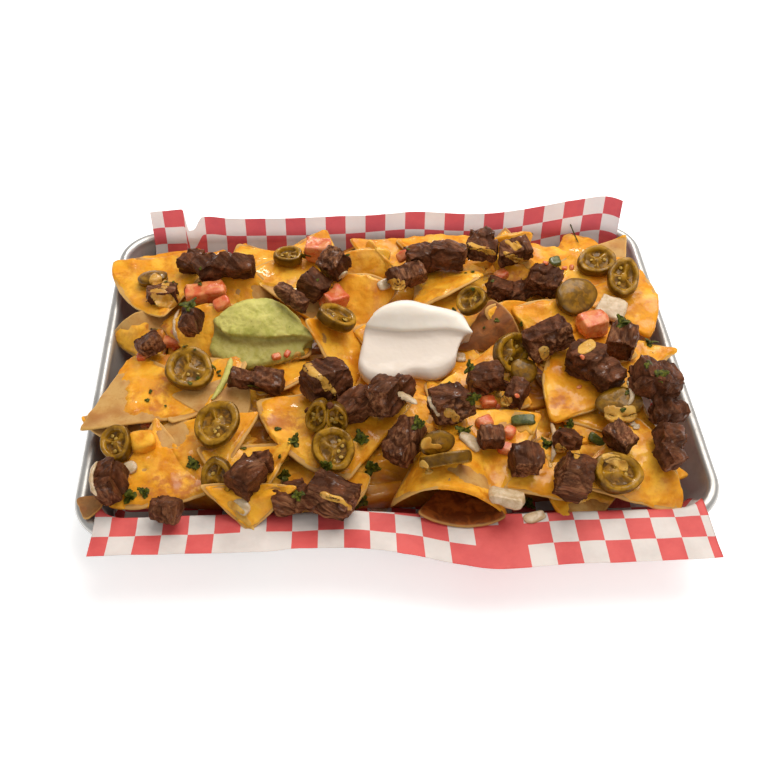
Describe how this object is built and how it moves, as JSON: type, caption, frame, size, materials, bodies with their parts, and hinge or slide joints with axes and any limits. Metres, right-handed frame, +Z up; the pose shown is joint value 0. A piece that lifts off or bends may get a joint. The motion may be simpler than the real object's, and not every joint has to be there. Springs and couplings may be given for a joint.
{
  "type": "loaded steak nachos",
  "caption": "Tortilla chips under melted cheese with steak, pickled pepper slices, guacamole and sour cream, served on a checked paper liner in a small sheet pan.",
  "frame": {"origin": "middle of the pan's flat underside", "axes": "+X along the pan's length to its right end, +Y across the pan towards its back long side, where the liner stands up, +Z up"},
  "size_m": [0.3318, 0.266, 0.0644],
  "materials": {
    "pan_metal": "satin rolled aluminium with fine wear",
    "check_paper": "matte greaseproof paper printed with plain half-inch squares in red and off-white",
    "queso_chips": "fried corn chips under a glossy coat of melted cheese",
    "guacamole": "moist, slightly lumpy mashed avocado",
    "sour_cream": "smooth, softly glossy cream",
    "steak": "grilled meat, fibrous, slightly moist",
    "jalapeno": "wet pickled pepper, glossy skin and paler flesh",
    "tomato": "moist diced tomato",
    "onion": "moist, slightly translucent raw onion"
  },
  "bodies": {
    "root": {"pan": "pan_metal", "paper_liner": "check_paper", "chips": "queso_chips", "guacamole": "guacamole", "sour_cream": "sour_cream", "steak_01": "steak", "steak_02": "steak", "steak_03": "steak", "steak_04": "steak", "steak_05": "steak", "steak_06": "steak", "steak_07": "steak", "steak_08": "steak", "steak_09": "steak", "steak_10": "steak", "steak_11": "steak", "steak_12": "steak", "steak_13": "steak", "steak_14": "steak", "steak_15": "steak", "steak_16": "steak", "steak_17": "steak", "steak_18": "steak", "steak_19": "steak", "steak_20": "steak", "steak_21": "steak", "steak_22": "steak", "steak_23": "steak", "steak_24": "steak", "steak_25": "steak", "steak_26": "steak", "steak_27": "steak", "steak_28": "steak", "steak_29": "steak", "steak_30": "steak", "steak_31": "steak", "steak_32": "steak", "jalapeno_01": "jalapeno", "jalapeno_02": "jalapeno", "jalapeno_03": "jalapeno", "jalapeno_04": "jalapeno", "jalapeno_05": "jalapeno", "jalapeno_06": "jalapeno", "jalapeno_07": "jalapeno", "jalapeno_08": "jalapeno", "jalapeno_09": "jalapeno", "jalapeno_10": "jalapeno", "jalapeno_11": "jalapeno", "jalapeno_12": "jalapeno", "jalapeno_13": "jalapeno", "jalapeno_14": "jalapeno", "jalapeno_15": "jalapeno", "jalapeno_16": "jalapeno", "jalapeno_17": "jalapeno", "tomato_01": "tomato", "tomato_02": "tomato", "tomato_03": "tomato", "tomato_04": "tomato", "onion_01": "onion", "onion_02": "onion"}
  },
  "joints": []
}
